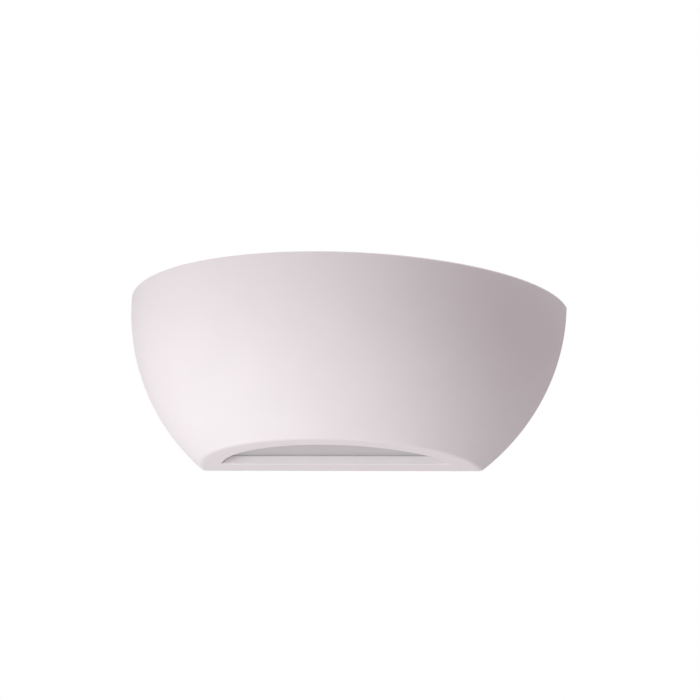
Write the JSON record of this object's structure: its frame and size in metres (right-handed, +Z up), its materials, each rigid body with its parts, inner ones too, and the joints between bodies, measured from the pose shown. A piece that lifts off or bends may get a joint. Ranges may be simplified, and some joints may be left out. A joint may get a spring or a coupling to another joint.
{
  "type": "uplighter wall sconce",
  "caption": "Half-bowl wall uplighter cast in plaster, open at the top, with a frosted glass over a D-shaped bottom aperture, hung on a steel bracket with a lampholder and screw-in lamp.",
  "frame": {"origin": "centre of the wall bracket's back face, on the wall plane, midway between the two hanging studs", "axes": "+X along the wall to the right as seen from the room, +Y into the wall, +Z up"},
  "size_m": [0.3, 0.1374, 0.1152],
  "materials": {
    "plaster": "matte",
    "frosted_glass": "matte",
    "zinc_steel": "satin",
    "plated_screw": "satin",
    "spring_steel": "satin",
    "grommet_rubber": "matte",
    "porcelain": "gloss",
    "nickel_brass": "satin",
    "terminal_brass": "satin",
    "terminal_plastic": "satin",
    "tinned_copper": "satin",
    "brown_sleeve": "satin",
    "blue_sleeve": "satin",
    "earth_sleeve": "satin",
    "solder": "satin",
    "black_glass": "gloss",
    "cap_metal": "satin",
    "lamp_plastic": "satin",
    "opal_plastic": "satin"
  },
  "bodies": {
    "bracket": {"wall_bracket": "zinc_steel", "hanging_studs": "plated_screw", "cable_grommet": "grommet_rubber", "lampholder_arm": "zinc_steel", "arm_rivets": "plated_screw", "lampholder_body": "porcelain", "lampholder_screws": "plated_screw", "lampholder_screw_shell": "nickel_brass", "lampholder_contact": "terminal_brass", "terminal_block": "terminal_plastic", "terminal_inserts": "terminal_brass", "terminal_screws": "plated_screw", "terminal_block_screws": "plated_screw", "earth_screw": "plated_screw", "earth_washer": "spring_steel", "earth_lug": "tinned_copper", "live_wire": "brown_sleeve", "neutral_wire": "blue_sleeve", "earth_wire": "earth_sleeve"},
    "shell": {"plaster_shell": "plaster", "glass_diffuser": "frosted_glass", "diffuser_clips": "spring_steel", "diffuser_clip_screws": "plated_screw", "hanger_plates": "zinc_steel", "hanger_plate_screws": "plated_screw"},
    "lamp_tip": {"lamp_tip_contact": "solder"},
    "lamp": {"lamp_insulator": "black_glass", "lamp_cap": "cap_metal", "lamp_housing": "lamp_plastic", "lamp_globe": "opal_plastic"}
  },
  "joints": [
    {"name": "shell_lift", "type": "slide", "parent": "bracket", "child": "shell", "axis": [0, 0, 1], "range_m": [0, 0.009]},
    {"name": "lamp_advance", "type": "slide", "parent": "bracket", "child": "lamp_tip", "axis": [1, 0, 0], "range_m": [0, 0.01816]},
    {"name": "lamp_turn", "type": "hinge", "parent": "lamp_tip", "child": "lamp", "pos_m": [-0.05, -0.058, -0.006], "axis": [1, 0, 0], "range_deg": [0, 1800]}
  ],
  "couplings": [
    {"joint": "lamp_advance", "follows": "lamp_turn", "m_per_rad": 0.00057757}
  ]
}
